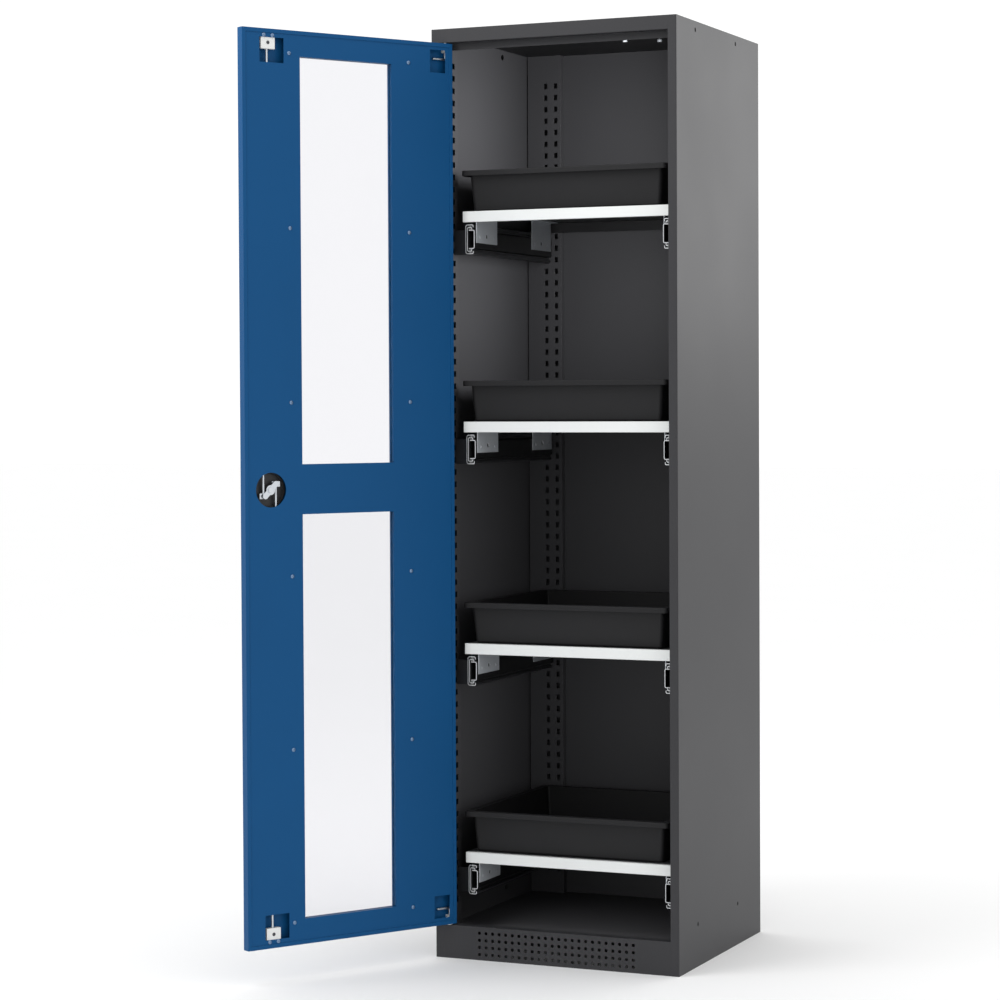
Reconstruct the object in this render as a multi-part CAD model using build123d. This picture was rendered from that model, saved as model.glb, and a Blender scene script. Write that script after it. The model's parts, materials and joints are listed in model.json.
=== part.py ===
from build123d import *
import os
from math import cos, radians, sin

# A tall single-door storage cabinet for chemicals, with pull-out shelves that carry plastic spill trays.
# Millimetres. The origin is the middle of the base on the floor: x to the right, y to the back, z up.
# The door is modelled shut and then swung open, which is how the part stands at rest.

# Carcass
WIDTH = 545.0
DEPTH = 520.0
HEIGHT = 1950.0
SHEET = 1.5
POST_FACE = 18.5
POST_DEPTH = 88.0
PLINTH_HEIGHT = 70.0
HEADER_HEIGHT = 28.5
LEDGE_DEPTH = 25.0
STOP_LIP = 14.5
FLOOR_DROP = 12.0
REAR_POST_WIDTH = 80.0
REAR_POST_DEPTH = 17.0
REAR_POST_INSET = 3.0
BASE_FLANGE = 25.0
SIDE_EDGE_RADIUS = 1.0

# Slots in the posts, which the shelf carriers hook into
SLOT_PITCH = 26.0
SLOT_HEIGHT = 12.0
SLOT_LENGTH = 13.0
SLOT_WIDTH = 8.0
SLOT_SETBACK = 12.0
FIRST_SLOT_Z = 106.0
REAR_SLOT_SPACING = 24.0
REAR_SLOT_SHIFT = 16.0

# Vent holes in the plinth
VENT_PITCH = 15.0
VENT_RADIUS = 3.4
VENT_COLUMNS = 24
VENT_ROWS = 4
VENT_LOWEST_Z = 12.0

# Holes that bolt one cabinet to the next
TIE_HOLE_RADIUS = 4.5
TIE_FRONT = 113.0
TIE_REAR = 366.0
TIE_BOTTOM_Z = 88.5
TIE_TOP_DROP = 18.0

# Bolts under the roof
ROOF_BOLT_RADIUS = 5.0
ROOF_BOLT_HEIGHT = 4.0
ROOF_BOLT_X = 37.0
ROOF_BOLT_SETBACK = 322.0
ROOF_BOLT_STEP_X = 69.0
ROOF_BOLT_STEP_Y = 30.0

# Door
DOOR_OPEN_ANGLE = 121.0
DOOR_GAP = 1.5
DOOR_END_GAP = 3.0
DOOR_THICKNESS = 19.0
DOOR_SHEET = 1.2
DOOR_FLANGE = 8.0
DOOR_EDGE_RADIUS = 0.8
HINGE_SETBACK = 9.0
HINGE_DEPTH = 5.5

# Windows, measured from the hinge axis, from the free edge and from the ends of the door
WINDOW_START = 142.0
WINDOW_END_MARGIN = 134.0
WINDOW_MARGIN = 51.5
CROSS_RAIL = 101.0
PANE_THICKNESS = 4.0
PANE_LAP = 12.0
PANE_DEPTH = 6.0

# Screws of the inner panel
SCREW_RADIUS = 2.0
SCREW_HEAD_RADIUS = 4.0
SCREW_HEAD_HEIGHT = 2.2
SCREW_HEAD_ROUND = 1.3
SCREW_LENGTH = 6.0
SCREW_FIT = 0.1
SCREW_COLUMN_INSET = 109.0
SCREW_END_MARGIN = 46.0
SCREWS_PER_COLUMN = 6

# Lock
LOCK_INSET = 60.5
LOCK_HOLE_RADIUS = 35.0
ESCUTCHEON_RADIUS = 34.0
ESCUTCHEON_THICKNESS = 6.0
ESCUTCHEON_ROUND = 2.4
HUB_RADIUS = 17.0
HUB_LENGTH = 20.0
SPINDLE_RADIUS = 5.0
LEVER_LENGTH = 118.0
LEVER_WIDTH = 24.0
LEVER_THICKNESS = 11.0
LEVER_TIP_RADIUS = 9.6
LEVER_ROUND = 2.7
CYLINDER_RADIUS = 8.5
CYLINDER_LENGTH = 14.0
CYLINDER_PROUD = 1.5
CYLINDER_ROUND = 0.7
KEY_SLOT_WIDTH = 1.6
KEY_SLOT_HEIGHT = 9.0
KEY_SLOT_DEPTH = 4.0
CAM_THICKNESS = 2.2
CAM_HUB_RADIUS = 10.0
CAM_BOSS_RADIUS = 6.0
CAM_BOSS_HEIGHT = 3.0
CAM_ARM_WIDTH = 12.0
CAM_PIN_RADIUS = 2.0
CAM_PIN_CIRCLE = 17.0
CAM_START_ANGLE = -45.0
CAM_DEPTH = 14.2

# Locking rods
ROD_RADIUS = 2.5
ROD_DEPTH = 11.0
ROD_OFFSET = 14.5
ROD_JOG_START = 40.0
ROD_JOG_END = 90.0
ROD_BEND_RADIUS = 20.0
ROD_END_SHORT = 4.0
LUG_LENGTH = 18.0
LUG_HEIGHT = 11.0
LUG_THICKNESS = 3.0
LUG_SLOT_PLAY = 0.7
LUG_SLOT_LENGTH = 10.6
ROD_HOLE_RADIUS = 4.5
GUIDE_WIDTH = 32.0
GUIDE_HEIGHT = 35.0
GUIDE_END_GAP = 5.0
GUIDE_SCREW_SPACING = 20.0
GUIDE_SCREW_DROP = 8.0
NOTCH_WIDTH = 56.0
NOTCH_HEIGHT = 50.0
NOTCH_END_GAP = 17.0
NOTCH_SHIFT = -8.0

# Hinge pins
PIN_RADIUS = 3.0
PIN_LENGTH = 44.0
PIN_PROUD = 12.0
PIN_TIP_ROUND = 0.9
PIN_LEVER_RADIUS = 2.5
PIN_LEVER_LENGTH = 32.0
PIN_LEVER_ROUND = 1.5
HINGE_BLOCK_WIDTH = 15.0
HINGE_BLOCK_HEIGHT = 17.0
HINGE_RECESS_START = 8.0
HINGE_RECESS_WIDTH = 38.0
HINGE_RECESS_HEIGHT = 47.0
HINGE_RECESS_END_GAP = 15.0
WASHER_RADIUS = 7.0

# Clearances, how far a cut runs past the face that it opens, and the share of a wall that a fillet may take
RUNNING_FIT = 0.05
SEAT_GAP = 0.2
OVERCUT = 1.0
FILLET_SHARE = 0.45

# Pull-out shelves
SHELF_LEFT_GAP = 33.0
SHELF_RIGHT_GAP = 3.0
SHELF_SETBACK = 41.0
SHELF_REAR_GAP = 20.5
SHELF_SHEET = 1.2
SHELF_EDGE = 22.5
SHELF_FRONT_DEPTH = 10.0
SHELF_FRONT_RADIUS = 0.9
LOWEST_SHELF_Z = 219.0
SHELF_SLOTS = (0, 17, 35, 52)

# Telescopic slides
SLIDE_HEIGHT = 62.0
SLIDE_WIDTH = 21.0
SLIDE_REAR_GAP = 36.5
SLIDE_SHEET = 1.5
SLIDE_CLEARANCE = 0.3
SLIDE_INSET = 4.0
SLIDE_SETBACK = 4.0
SLIDE_DROP = 5.0
OUTER_LIP = 4.0
MIDDLE_LIP = 3.5
LIP_STEP = 2.5
CARRIER_SHEET = 2.0
CARRIER_HOOK_DROP = 10.0
BRACKET_LENGTH = 107.0
BRACKET_SETBACK = 8.0
BRACKET_FLANGE = 18.0
BRACKET_DROP = 42.0
BRACKET_HOLE_RADIUS = 4.5
BRACKET_HOLE_RISE = 7.8

# Spill trays
TRAY_HEIGHT = 86.0
TRAY_WALL = 3.0
TRAY_OVERHANG = 5.0
TRAY_RIGHT_MARGIN = 18.0
TRAY_END_MARGIN = 2.0
TRAY_RIM_WIDTH = 13.0
TRAY_RIM_HEIGHT = 11.0
TRAY_RIM_ROUND = 1.8
TRAY_TAPER = 6.5
TRAY_CORNER = 8.0
TRAY_FLOOR_RADIUS = 5.0

# Places that follow from the sizes above
FRONT = -DEPTH / 2
BACK = DEPTH / 2
INSIDE = WIDTH / 2 - SHEET
OPENING = WIDTH / 2 - POST_FACE
UNDER_ROOF = HEIGHT - SHEET
BACK_FACE = BACK - SHEET
REAR_POST_FRONT = BACK_FACE - REAR_POST_DEPTH
HEADER_Z = HEIGHT - HEADER_HEIGHT
FLOOR_Z = PLINTH_HEIGHT - FLOOR_DROP
DOOR_LEFT = -OPENING + DOOR_GAP
DOOR_RIGHT = OPENING - DOOR_GAP
DOOR_BOTTOM = PLINTH_HEIGHT + DOOR_END_GAP
DOOR_TOP = HEADER_Z - DOOR_END_GAP
DOOR_MIDDLE = (DOOR_BOTTOM + DOOR_TOP) / 2
HINGE_X = DOOR_LEFT + HINGE_SETBACK
HINGE_Y = FRONT + HINGE_DEPTH
LOCK_X = DOOR_RIGHT - LOCK_INSET
WINDOW_LEFT = HINGE_X + WINDOW_START
WINDOW_RIGHT = DOOR_RIGHT - WINDOW_END_MARGIN
PANEL_FRONT = FRONT + DOOR_THICKNESS - 2 * DOOR_SHEET
PANEL_FACE = PANEL_FRONT + DOOR_SHEET
PANE_FRONT = FRONT + PANE_DEPTH
PANE_BACK = PANE_FRONT + PANE_THICKNESS
WINDOW_HEIGHT = (DOOR_TOP - DOOR_BOTTOM - 2 * WINDOW_MARGIN - CROSS_RAIL) / 2
ROD_Y = FRONT + ROD_DEPTH
CAM_Y = FRONT + CAM_DEPTH
ROD_TRAVEL = 2 * CAM_PIN_CIRCLE * sin(radians(-CAM_START_ANGLE))
SHELF_OFFSET = (SHELF_LEFT_GAP - SHELF_RIGHT_GAP) / 2
SHELF_WIDTH = 2 * OPENING - SHELF_LEFT_GAP - SHELF_RIGHT_GAP
SHELF_FRONT_Y = FRONT + SHELF_SETBACK
SHELF_BACK_Y = REAR_POST_FRONT - SHELF_REAR_GAP
SHELF_DEPTH = SHELF_BACK_Y - SHELF_FRONT_Y
SLIDE_FRONT_Y = SHELF_FRONT_Y + SLIDE_SETBACK
SLIDE_BACK_Y = REAR_POST_FRONT - SLIDE_REAR_GAP
SLIDE_OUTSIDE = SHELF_WIDTH / 2 - SLIDE_INSET
SLIDE_INSIDE = SLIDE_OUTSIDE - SLIDE_WIDTH
SLOT_FRONT_Y = FRONT + POST_DEPTH - SLOT_SETBACK - SLOT_LENGTH


def block(x0, x1, y0, y1, z0, z1):
    """A box between two opposite corners."""
    middle = Pos((x0 + x1) / 2, (y0 + y1) / 2, (z0 + z1) / 2)
    return middle * Box(abs(x1 - x0), abs(y1 - y0), abs(z1 - z0))


def upright(radius, x, y, z0, z1):
    """A round bar along z."""
    return Pos(x, y, (z0 + z1) / 2) * Cylinder(radius, abs(z1 - z0))


def crosswise(radius, x, z, y0, y1):
    """A round bar along y."""
    return Pos(x, (y0 + y1) / 2, z) * Rot(90, 0, 0) * Cylinder(radius, abs(y1 - y0))


def sideways(radius, y, z, x0, x1):
    """A round bar along x."""
    return Pos((x0 + x1) / 2, y, z) * Rot(0, 90, 0) * Cylinder(radius, abs(x1 - x0))


def group(solids):
    """Separate solids that share one node."""
    return Compound(children=[solid for item in solids for solid in item.solids()])


def soften(edges, radius, wall):
    """Round the edges of a wall that may be too thin for the whole radius."""
    return fillet(edges, min(radius, FILLET_SHARE * wall))


def slot_heights():
    """The heights of the slots, from the lowest up to just under the door stop."""
    count = int((HEADER_Z - STOP_LIP - SLOT_PITCH - FIRST_SLOT_Z) / SLOT_PITCH)
    return [FIRST_SLOT_Z + SLOT_PITCH * step for step in range(count + 1)]


def shut_door_mirror(shape):
    """The same shape turned over from the top of the door to its bottom."""
    return mirror(shape, about=Plane.XY.offset(DOOR_MIDDLE))


def swing_open(shape):
    """Carry a piece of the shut door to the open door."""
    return shape.rotate(Axis((HINGE_X, HINGE_Y, 0), (0, 0, 1)), -DOOR_OPEN_ANGLE)


# Carcass
def side_panel(side):
    """A flat side with holes that bolt it to a cabinet beside it."""
    panel = block(side * INSIDE, side * WIDTH / 2, FRONT, BACK, 0, HEIGHT)
    corners = panel.edges().filter_by(Axis.Z).group_by(Axis.Y)[0]
    panel = fillet(corners.sort_by(Axis.X)[-1 if side > 0 else 0], min(SIDE_EDGE_RADIUS, SHEET - SEAT_GAP))
    for setback in (TIE_FRONT, TIE_REAR):
        for z in (TIE_BOTTOM_Z, HEIGHT - TIE_TOP_DROP):
            panel -= sideways(TIE_HOLE_RADIUS, FRONT + setback, z, -WIDTH, WIDTH)
    return panel


def back_panel():
    return block(-INSIDE, INSIDE, BACK_FACE, BACK, 0, UNDER_ROOF)


def roof_panel():
    return block(-INSIDE, INSIDE, FRONT, BACK, UNDER_ROOF, HEIGHT)


def front_post(side):
    """A folded post: its face frames the door and its return carries the slots."""
    face = block(side * OPENING, side * INSIDE, FRONT, FRONT + SHEET, SHEET, UNDER_ROOF)
    inner = side * (OPENING + SHEET)
    back_y = FRONT + POST_DEPTH
    post = face + block(side * OPENING, inner, FRONT, back_y, SHEET, UNDER_ROOF)
    post += block(side * OPENING, side * INSIDE, back_y - SHEET, back_y, SHEET, UNDER_ROOF)
    slots = [
        block(side * OPENING, inner, SLOT_FRONT_Y, SLOT_FRONT_Y + SLOT_LENGTH, z, z + SLOT_HEIGHT)
        for z in slot_heights()
    ]
    return post - slots


def rear_post(side):
    """A folded strip in the back corner with two columns of slots near its inner edge."""
    outer = INSIDE - REAR_POST_INSET
    inner = outer - REAR_POST_WIDTH
    face_back = REAR_POST_FRONT + SHEET
    post = block(side * inner, side * outer, REAR_POST_FRONT, face_back, SHEET, UNDER_ROOF)
    post += block(side * inner, side * (inner + SHEET), REAR_POST_FRONT, BACK_FACE, SHEET, UNDER_ROOF)
    post += block(side * outer, side * (outer - SHEET), REAR_POST_FRONT, BACK_FACE, SHEET, UNDER_ROOF)
    middle = side * ((inner + outer) / 2 - REAR_SLOT_SHIFT)
    slots = []
    for x in (middle - REAR_SLOT_SPACING / 2, middle + REAR_SLOT_SPACING / 2):
        for z in slot_heights():
            left = x - SLOT_WIDTH / 2
            right = x + SLOT_WIDTH / 2
            slots.append(block(left, right, REAR_POST_FRONT, face_back, z, z + SLOT_HEIGHT))
    return post - slots


def bolt_holes(z0, z1):
    """The bores of a ledge that take a hinge pin and the end of a locking rod."""
    return [
        upright(PIN_RADIUS + RUNNING_FIT, HINGE_X, HINGE_Y, z0, z1),
        upright(ROD_HOLE_RADIUS, LOCK_X, ROD_Y, z0, z1),
    ]


def header_rail():
    """The rail over the door, with its ledge for the hinge pin and its door stop."""
    ledge_back = FRONT + LEDGE_DEPTH
    rail = block(-OPENING, OPENING, FRONT, FRONT + SHEET, HEADER_Z, UNDER_ROOF)
    rail += block(-OPENING, OPENING, FRONT, ledge_back, HEADER_Z, HEADER_Z + SHEET)
    rail += block(
        -OPENING, OPENING, ledge_back - SHEET, ledge_back, HEADER_Z - STOP_LIP, HEADER_Z + SHEET
    )
    return rail - bolt_holes(HEADER_Z - OVERCUT, HEADER_Z + SHEET + OVERCUT)


def plinth_panel():
    """The perforated base front on its floor ring, with its ledge for the lower hinge pin."""
    ledge_back = FRONT + LEDGE_DEPTH
    ledge_z = PLINTH_HEIGHT - SHEET
    plinth = block(-INSIDE, INSIDE, FRONT, BACK_FACE, 0, SHEET)
    ring_x = INSIDE - BASE_FLANGE
    plinth -= block(-ring_x, ring_x, FRONT + BASE_FLANGE, BACK_FACE - BASE_FLANGE, 0, SHEET)
    plinth += block(-OPENING, OPENING, FRONT, FRONT + SHEET, 0, PLINTH_HEIGHT)
    plinth += block(-OPENING, OPENING, FRONT, ledge_back, ledge_z, PLINTH_HEIGHT)
    plinth += block(
        -OPENING, OPENING, ledge_back - SHEET, ledge_back, FLOOR_Z - SHEET, PLINTH_HEIGHT
    )
    first_x = -VENT_PITCH * (VENT_COLUMNS - 1) / 2
    vents = []
    for column in range(VENT_COLUMNS):
        for row in range(VENT_ROWS):
            x = first_x + VENT_PITCH * column
            z = VENT_LOWEST_Z + VENT_PITCH * row
            vents.append(crosswise(VENT_RADIUS, x, z, FRONT - OVERCUT, FRONT + SHEET + OVERCUT))
    return plinth - vents - bolt_holes(ledge_z - OVERCUT, PLINTH_HEIGHT + OVERCUT)


def floor_panel():
    """The sunk floor, cut round the four posts."""
    floor = block(-INSIDE, INSIDE, FRONT + LEDGE_DEPTH, BACK_FACE, FLOOR_Z - SHEET, FLOOR_Z)
    rear_outer = INSIDE - REAR_POST_INSET
    for side in (-1, 1):
        floor -= block(side * OPENING, side * WIDTH, FRONT, FRONT + POST_DEPTH, 0, HEIGHT)
        floor -= block(
            side * (rear_outer - REAR_POST_WIDTH), side * rear_outer, REAR_POST_FRONT, BACK, 0, HEIGHT
        )
    return floor


def roof_bolts():
    """Two bolts under the roof."""
    bolts = []
    for step in range(2):
        x = ROOF_BOLT_X + ROOF_BOLT_STEP_X * step
        y = FRONT + ROOF_BOLT_SETBACK + ROOF_BOLT_STEP_Y * step
        bolts.append(upright(ROOF_BOLT_RADIUS, x, y, UNDER_ROOF - ROOF_BOLT_HEIGHT, UNDER_ROOF))
    return group(bolts)


# Door, modelled shut
def window(grow, y0, y1, upper):
    """A box through one window, larger than the window all round by a margin."""
    z0 = DOOR_BOTTOM + WINDOW_MARGIN
    if upper:
        z0 = DOOR_TOP - WINDOW_MARGIN - WINDOW_HEIGHT
    z1 = z0 + WINDOW_HEIGHT
    return block(WINDOW_LEFT - grow, WINDOW_RIGHT + grow, y0, y1, z0 - grow, z1 + grow)


def window_frames(body, y0, y1):
    """Cut both windows into a sheet and turn their edges in."""
    for upper in (False, True):
        body += window(DOOR_SHEET, y0, y1, upper)
    for upper in (False, True):
        body -= window(0, FRONT - OVERCUT, FRONT + DOOR_THICKNESS + OVERCUT, upper)
    return body


def door_skin():
    """The outer pan of the door: face, four edges and a narrow flange behind."""
    back = FRONT + DOOR_THICKNESS
    skin = block(DOOR_LEFT, DOOR_RIGHT, FRONT, back, DOOR_BOTTOM, DOOR_TOP)
    skin = fillet(skin.edges().group_by(Axis.Y)[0], min(DOOR_EDGE_RADIUS, DOOR_SHEET - SEAT_GAP))
    skin -= block(
        DOOR_LEFT + DOOR_SHEET,
        DOOR_RIGHT - DOOR_SHEET,
        FRONT + DOOR_SHEET,
        PANEL_FACE,
        DOOR_BOTTOM + DOOR_SHEET,
        DOOR_TOP - DOOR_SHEET,
    )
    skin -= block(
        DOOR_LEFT + DOOR_FLANGE,
        DOOR_RIGHT - DOOR_FLANGE,
        PANEL_FRONT,
        back + OVERCUT,
        DOOR_BOTTOM + DOOR_FLANGE,
        DOOR_TOP - DOOR_FLANGE,
    )
    skin = window_frames(skin, FRONT, PANE_FRONT)
    skin -= upright(PIN_RADIUS + SEAT_GAP, HINGE_X, HINGE_Y, 0, HEIGHT)
    skin -= upright(ROD_HOLE_RADIUS, LOCK_X, ROD_Y, 0, HEIGHT)
    skin -= crosswise(SPINDLE_RADIUS + SEAT_GAP, LOCK_X, DOOR_MIDDLE, FRONT - OVERCUT, PANE_FRONT)
    return skin


def screw_places():
    """Where the screws of the inner panel stand: two columns, and a pair at each rod guide."""
    z0 = DOOR_BOTTOM + SCREW_END_MARGIN
    step = (DOOR_TOP - DOOR_BOTTOM - 2 * SCREW_END_MARGIN) / (SCREWS_PER_COLUMN - 1)
    places = []
    for x in (DOOR_LEFT + SCREW_COLUMN_INSET, DOOR_RIGHT - SCREW_COLUMN_INSET):
        places += [(x, z0 + step * row) for row in range(SCREWS_PER_COLUMN)]
    for x in (LOCK_X - GUIDE_SCREW_SPACING / 2, LOCK_X + GUIDE_SCREW_SPACING / 2):
        inset = GUIDE_END_GAP + GUIDE_SCREW_DROP
        places += [(x, DOOR_BOTTOM + inset), (x, DOOR_TOP - inset)]
    return places


def door_inner_panel():
    """The sheet inside the door, cut for windows, lock, rod guides and hinge pins."""
    panel = block(
        DOOR_LEFT + DOOR_SHEET,
        DOOR_RIGHT - DOOR_SHEET,
        PANEL_FRONT,
        PANEL_FACE,
        DOOR_BOTTOM + DOOR_SHEET,
        DOOR_TOP - DOOR_SHEET,
    )
    panel = window_frames(panel, PANE_BACK, PANEL_FACE)
    panel -= crosswise(LOCK_HOLE_RADIUS, LOCK_X, DOOR_MIDDLE, FRONT, FRONT + DOOR_THICKNESS)
    notch_x = LOCK_X + NOTCH_SHIFT
    notch_z = DOOR_TOP - NOTCH_END_GAP
    notch = block(
        notch_x - NOTCH_WIDTH / 2,
        notch_x + NOTCH_WIDTH / 2,
        FRONT,
        FRONT + DOOR_THICKNESS,
        notch_z - NOTCH_HEIGHT,
        notch_z,
    )
    recess_x = HINGE_X + HINGE_RECESS_START
    recess_z = DOOR_TOP - HINGE_RECESS_END_GAP
    recess = block(
        recess_x,
        recess_x + HINGE_RECESS_WIDTH,
        FRONT,
        FRONT + DOOR_THICKNESS,
        recess_z - HINGE_RECESS_HEIGHT,
        recess_z,
    )
    for cut in (notch, recess):
        panel -= cut
        panel -= shut_door_mirror(cut)
    for x, z in screw_places():
        panel -= crosswise(SCREW_RADIUS + SCREW_FIT, x, z, FRONT, FRONT + DOOR_THICKNESS)
    return panel


def door_screws():
    """Domed screws that hold the inner panel and the rod guides."""
    screws = []
    for x, z in screw_places():
        tip = PANEL_FACE - SCREW_LENGTH
        head_y = PANEL_FACE + SCREW_HEAD_HEIGHT
        head = crosswise(SCREW_HEAD_RADIUS, x, z, PANEL_FACE, head_y)
        dome = min(SCREW_HEAD_ROUND, SCREW_HEAD_HEIGHT - SCREW_FIT)
        head = fillet(head.edges().group_by(Axis.Y)[-1], dome)
        screws.append(head + crosswise(SCREW_RADIUS, x, z, tip, PANEL_FACE))
    return group(screws)


def window_pane(upper):
    """A clear pane held between the two sheets of the door."""
    return window(PANE_LAP, PANE_FRONT, PANE_BACK, upper)


def handle_escutcheon():
    """The round plate under the handle."""
    face_y = FRONT - ESCUTCHEON_THICKNESS
    plate = crosswise(ESCUTCHEON_RADIUS, LOCK_X, DOOR_MIDDLE, face_y, FRONT)
    plate = soften(plate.edges().group_by(Axis.Y)[0], ESCUTCHEON_ROUND, ESCUTCHEON_THICKNESS)
    bore = SPINDLE_RADIUS + RUNNING_FIT
    return plate - crosswise(bore, LOCK_X, DOOR_MIDDLE, face_y - OVERCUT, FRONT + OVERCUT)


def hub_back_y():
    """Where the handle's hub stands off its plate."""
    return FRONT - ESCUTCHEON_THICKNESS - SEAT_GAP


def door_handle():
    """The turning lever with its hub, its spindle and the bore of the lock cylinder."""
    hub_back = hub_back_y()
    hub_front = hub_back - HUB_LENGTH
    hub = crosswise(HUB_RADIUS, LOCK_X, DOOR_MIDDLE, hub_front, hub_back)
    lever = block(
        LOCK_X - LEVER_LENGTH,
        LOCK_X,
        hub_front,
        hub_front + LEVER_THICKNESS,
        DOOR_MIDDLE - LEVER_WIDTH / 2,
        DOOR_MIDDLE + LEVER_WIDTH / 2,
    )
    tip = lever.edges().filter_by(Axis.Y).group_by(Axis.X)[0]
    lever = soften(tip, LEVER_TIP_RADIUS, LEVER_WIDTH)
    handle = hub + lever
    handle = soften(handle.faces().sort_by(Axis.Y)[0].edges(), LEVER_ROUND, LEVER_THICKNESS)
    handle += crosswise(SPINDLE_RADIUS, LOCK_X, DOOR_MIDDLE, hub_back, CAM_Y)
    bore = CYLINDER_RADIUS + RUNNING_FIT
    bore_end = hub_front + CYLINDER_LENGTH + RUNNING_FIT
    return handle - crosswise(bore, LOCK_X, DOOR_MIDDLE, hub_front - OVERCUT, bore_end)


def lock_cylinder():
    """The key barrel in the handle, with its key slot."""
    front = hub_back_y() - HUB_LENGTH - CYLINDER_PROUD
    back = hub_back_y() - HUB_LENGTH + CYLINDER_LENGTH
    barrel = crosswise(CYLINDER_RADIUS, LOCK_X, DOOR_MIDDLE, front, back)
    barrel = fillet(barrel.edges().group_by(Axis.Y)[0], min(CYLINDER_ROUND, CYLINDER_PROUD))
    half = KEY_SLOT_HEIGHT / 2
    return barrel - block(
        LOCK_X - KEY_SLOT_WIDTH / 2,
        LOCK_X + KEY_SLOT_WIDTH / 2,
        front - OVERCUT,
        front + KEY_SLOT_DEPTH,
        DOOR_MIDDLE - half,
        DOOR_MIDDLE + half,
    )


def cam_pin_place(turn):
    """A cam pin at rest: turn 0 drives the upper rod, turn 180 the lower one."""
    angle = radians(CAM_START_ANGLE + turn)
    return LOCK_X + CAM_PIN_CIRCLE * cos(angle), DOOR_MIDDLE + CAM_PIN_CIRCLE * sin(angle)


def lock_cam():
    """The two-armed cam behind the inner panel, with a pin for each rod."""
    back = CAM_Y + CAM_THICKNESS
    cam = crosswise(CAM_HUB_RADIUS, LOCK_X, DOOR_MIDDLE, CAM_Y, back)
    cam += crosswise(CAM_BOSS_RADIUS, LOCK_X, DOOR_MIDDLE, back, back + CAM_BOSS_HEIGHT)
    arm = Box(2 * CAM_PIN_CIRCLE, CAM_THICKNESS, CAM_ARM_WIDTH)
    cam += Pos(LOCK_X, CAM_Y + CAM_THICKNESS / 2, DOOR_MIDDLE) * Rot(0, -CAM_START_ANGLE, 0) * arm
    for turn in (0, 180):
        x, z = cam_pin_place(turn)
        cam += crosswise(CAM_ARM_WIDTH / 2, x, z, CAM_Y, back)
        cam += crosswise(CAM_PIN_RADIUS, x, z, ROD_Y - LUG_THICKNESS / 2, CAM_Y)
    return cam


def upper_rod():
    """The rod from the cam up to the header, with a slotted lug over the cam pin."""
    pin_x, pin_z = cam_pin_place(0)
    lug = Pos(LOCK_X + ROD_OFFSET, ROD_Y, pin_z) * Box(LUG_LENGTH, LUG_THICKNESS, LUG_HEIGHT)
    slot_height = 2 * (CAM_PIN_RADIUS + LUG_SLOT_PLAY)
    slot_mid = LOCK_X + (pin_x - LOCK_X + CAM_PIN_CIRCLE) / 2
    lug -= Pos(slot_mid, ROD_Y, pin_z) * Box(LUG_SLOT_LENGTH, LUG_THICKNESS * 2, slot_height)
    path = FilletPolyline(
        (LOCK_X + ROD_OFFSET, ROD_Y, pin_z + LUG_HEIGHT / 2 - ROD_RADIUS / 2),
        (LOCK_X + ROD_OFFSET, ROD_Y, DOOR_MIDDLE + ROD_JOG_START),
        (LOCK_X, ROD_Y, DOOR_MIDDLE + ROD_JOG_END),
        (LOCK_X, ROD_Y, DOOR_TOP - ROD_END_SHORT),
        radius=ROD_BEND_RADIUS,
    )
    bar = sweep(Plane(path @ 0, z_dir=path % 0) * Circle(ROD_RADIUS), path=path)
    return lug + bar


def lower_rod():
    """The rod from the cam down to the plinth: the upper one turned end for end."""
    return upper_rod().rotate(Axis((LOCK_X, 0, DOOR_MIDDLE), (0, 1, 0)), 180)


def rod_guides():
    """Plastic blocks that hold the ends of the rods."""
    top = DOOR_TOP - GUIDE_END_GAP
    guide = block(
        LOCK_X - GUIDE_WIDTH / 2,
        LOCK_X + GUIDE_WIDTH / 2,
        ROD_Y - 2 * ROD_RADIUS,
        PANEL_FRONT,
        top - GUIDE_HEIGHT,
        top,
    )
    guide -= upright(ROD_RADIUS + RUNNING_FIT, LOCK_X, ROD_Y, 0, HEIGHT)
    for x, z in screw_places():
        guide -= crosswise(SCREW_RADIUS + SCREW_FIT, x, z, PANEL_FACE - SCREW_LENGTH, PANEL_FACE)
    return group([guide, shut_door_mirror(guide)])


def upper_hinge_pin():
    """A drawn-back hinge pin with its side lever."""
    top = DOOR_TOP + PIN_PROUD
    lever_z = top - PIN_LENGTH
    pin = upright(PIN_RADIUS, HINGE_X, HINGE_Y, lever_z, top)
    pin = soften(pin.edges().group_by(Axis.Z)[-1], PIN_TIP_ROUND, 2 * PIN_RADIUS)
    lever = sideways(PIN_LEVER_RADIUS, HINGE_Y, lever_z, HINGE_X, HINGE_X + PIN_LEVER_LENGTH)
    lever = soften(lever.edges().group_by(Axis.X)[-1], PIN_LEVER_ROUND, 2 * PIN_LEVER_RADIUS)
    return pin + lever + Pos(HINGE_X, HINGE_Y, lever_z) * Sphere(PIN_RADIUS)


def hinge_blocks():
    """Blocks in the door's corners that guide the hinge pins."""
    top = DOOR_TOP - DOOR_SHEET - SEAT_GAP
    half = HINGE_BLOCK_WIDTH / 2
    guide = block(
        DOOR_LEFT + DOOR_SHEET + SEAT_GAP,
        HINGE_X + half,
        FRONT + DOOR_SHEET + SEAT_GAP,
        HINGE_Y + half,
        top - HINGE_BLOCK_HEIGHT,
        top,
    )
    guide -= upright(PIN_RADIUS + RUNNING_FIT, HINGE_X, HINGE_Y, 0, HEIGHT)
    return group([guide, shut_door_mirror(guide)])


def hinge_washer():
    """The washer under the door, round the lower hinge pin."""
    ring = upright(WASHER_RADIUS, HINGE_X, HINGE_Y, PLINTH_HEIGHT + SEAT_GAP, DOOR_BOTTOM)
    return ring - upright(PIN_RADIUS + SEAT_GAP, HINGE_X, HINGE_Y, 0, HEIGHT)


# Pull-out shelves. The left half of each pair is built and mirrored about the middle of the shelf.
def both_sides(left):
    return group([left, mirror(left, about=Plane.YZ.offset(SHELF_OFFSET))])


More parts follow.
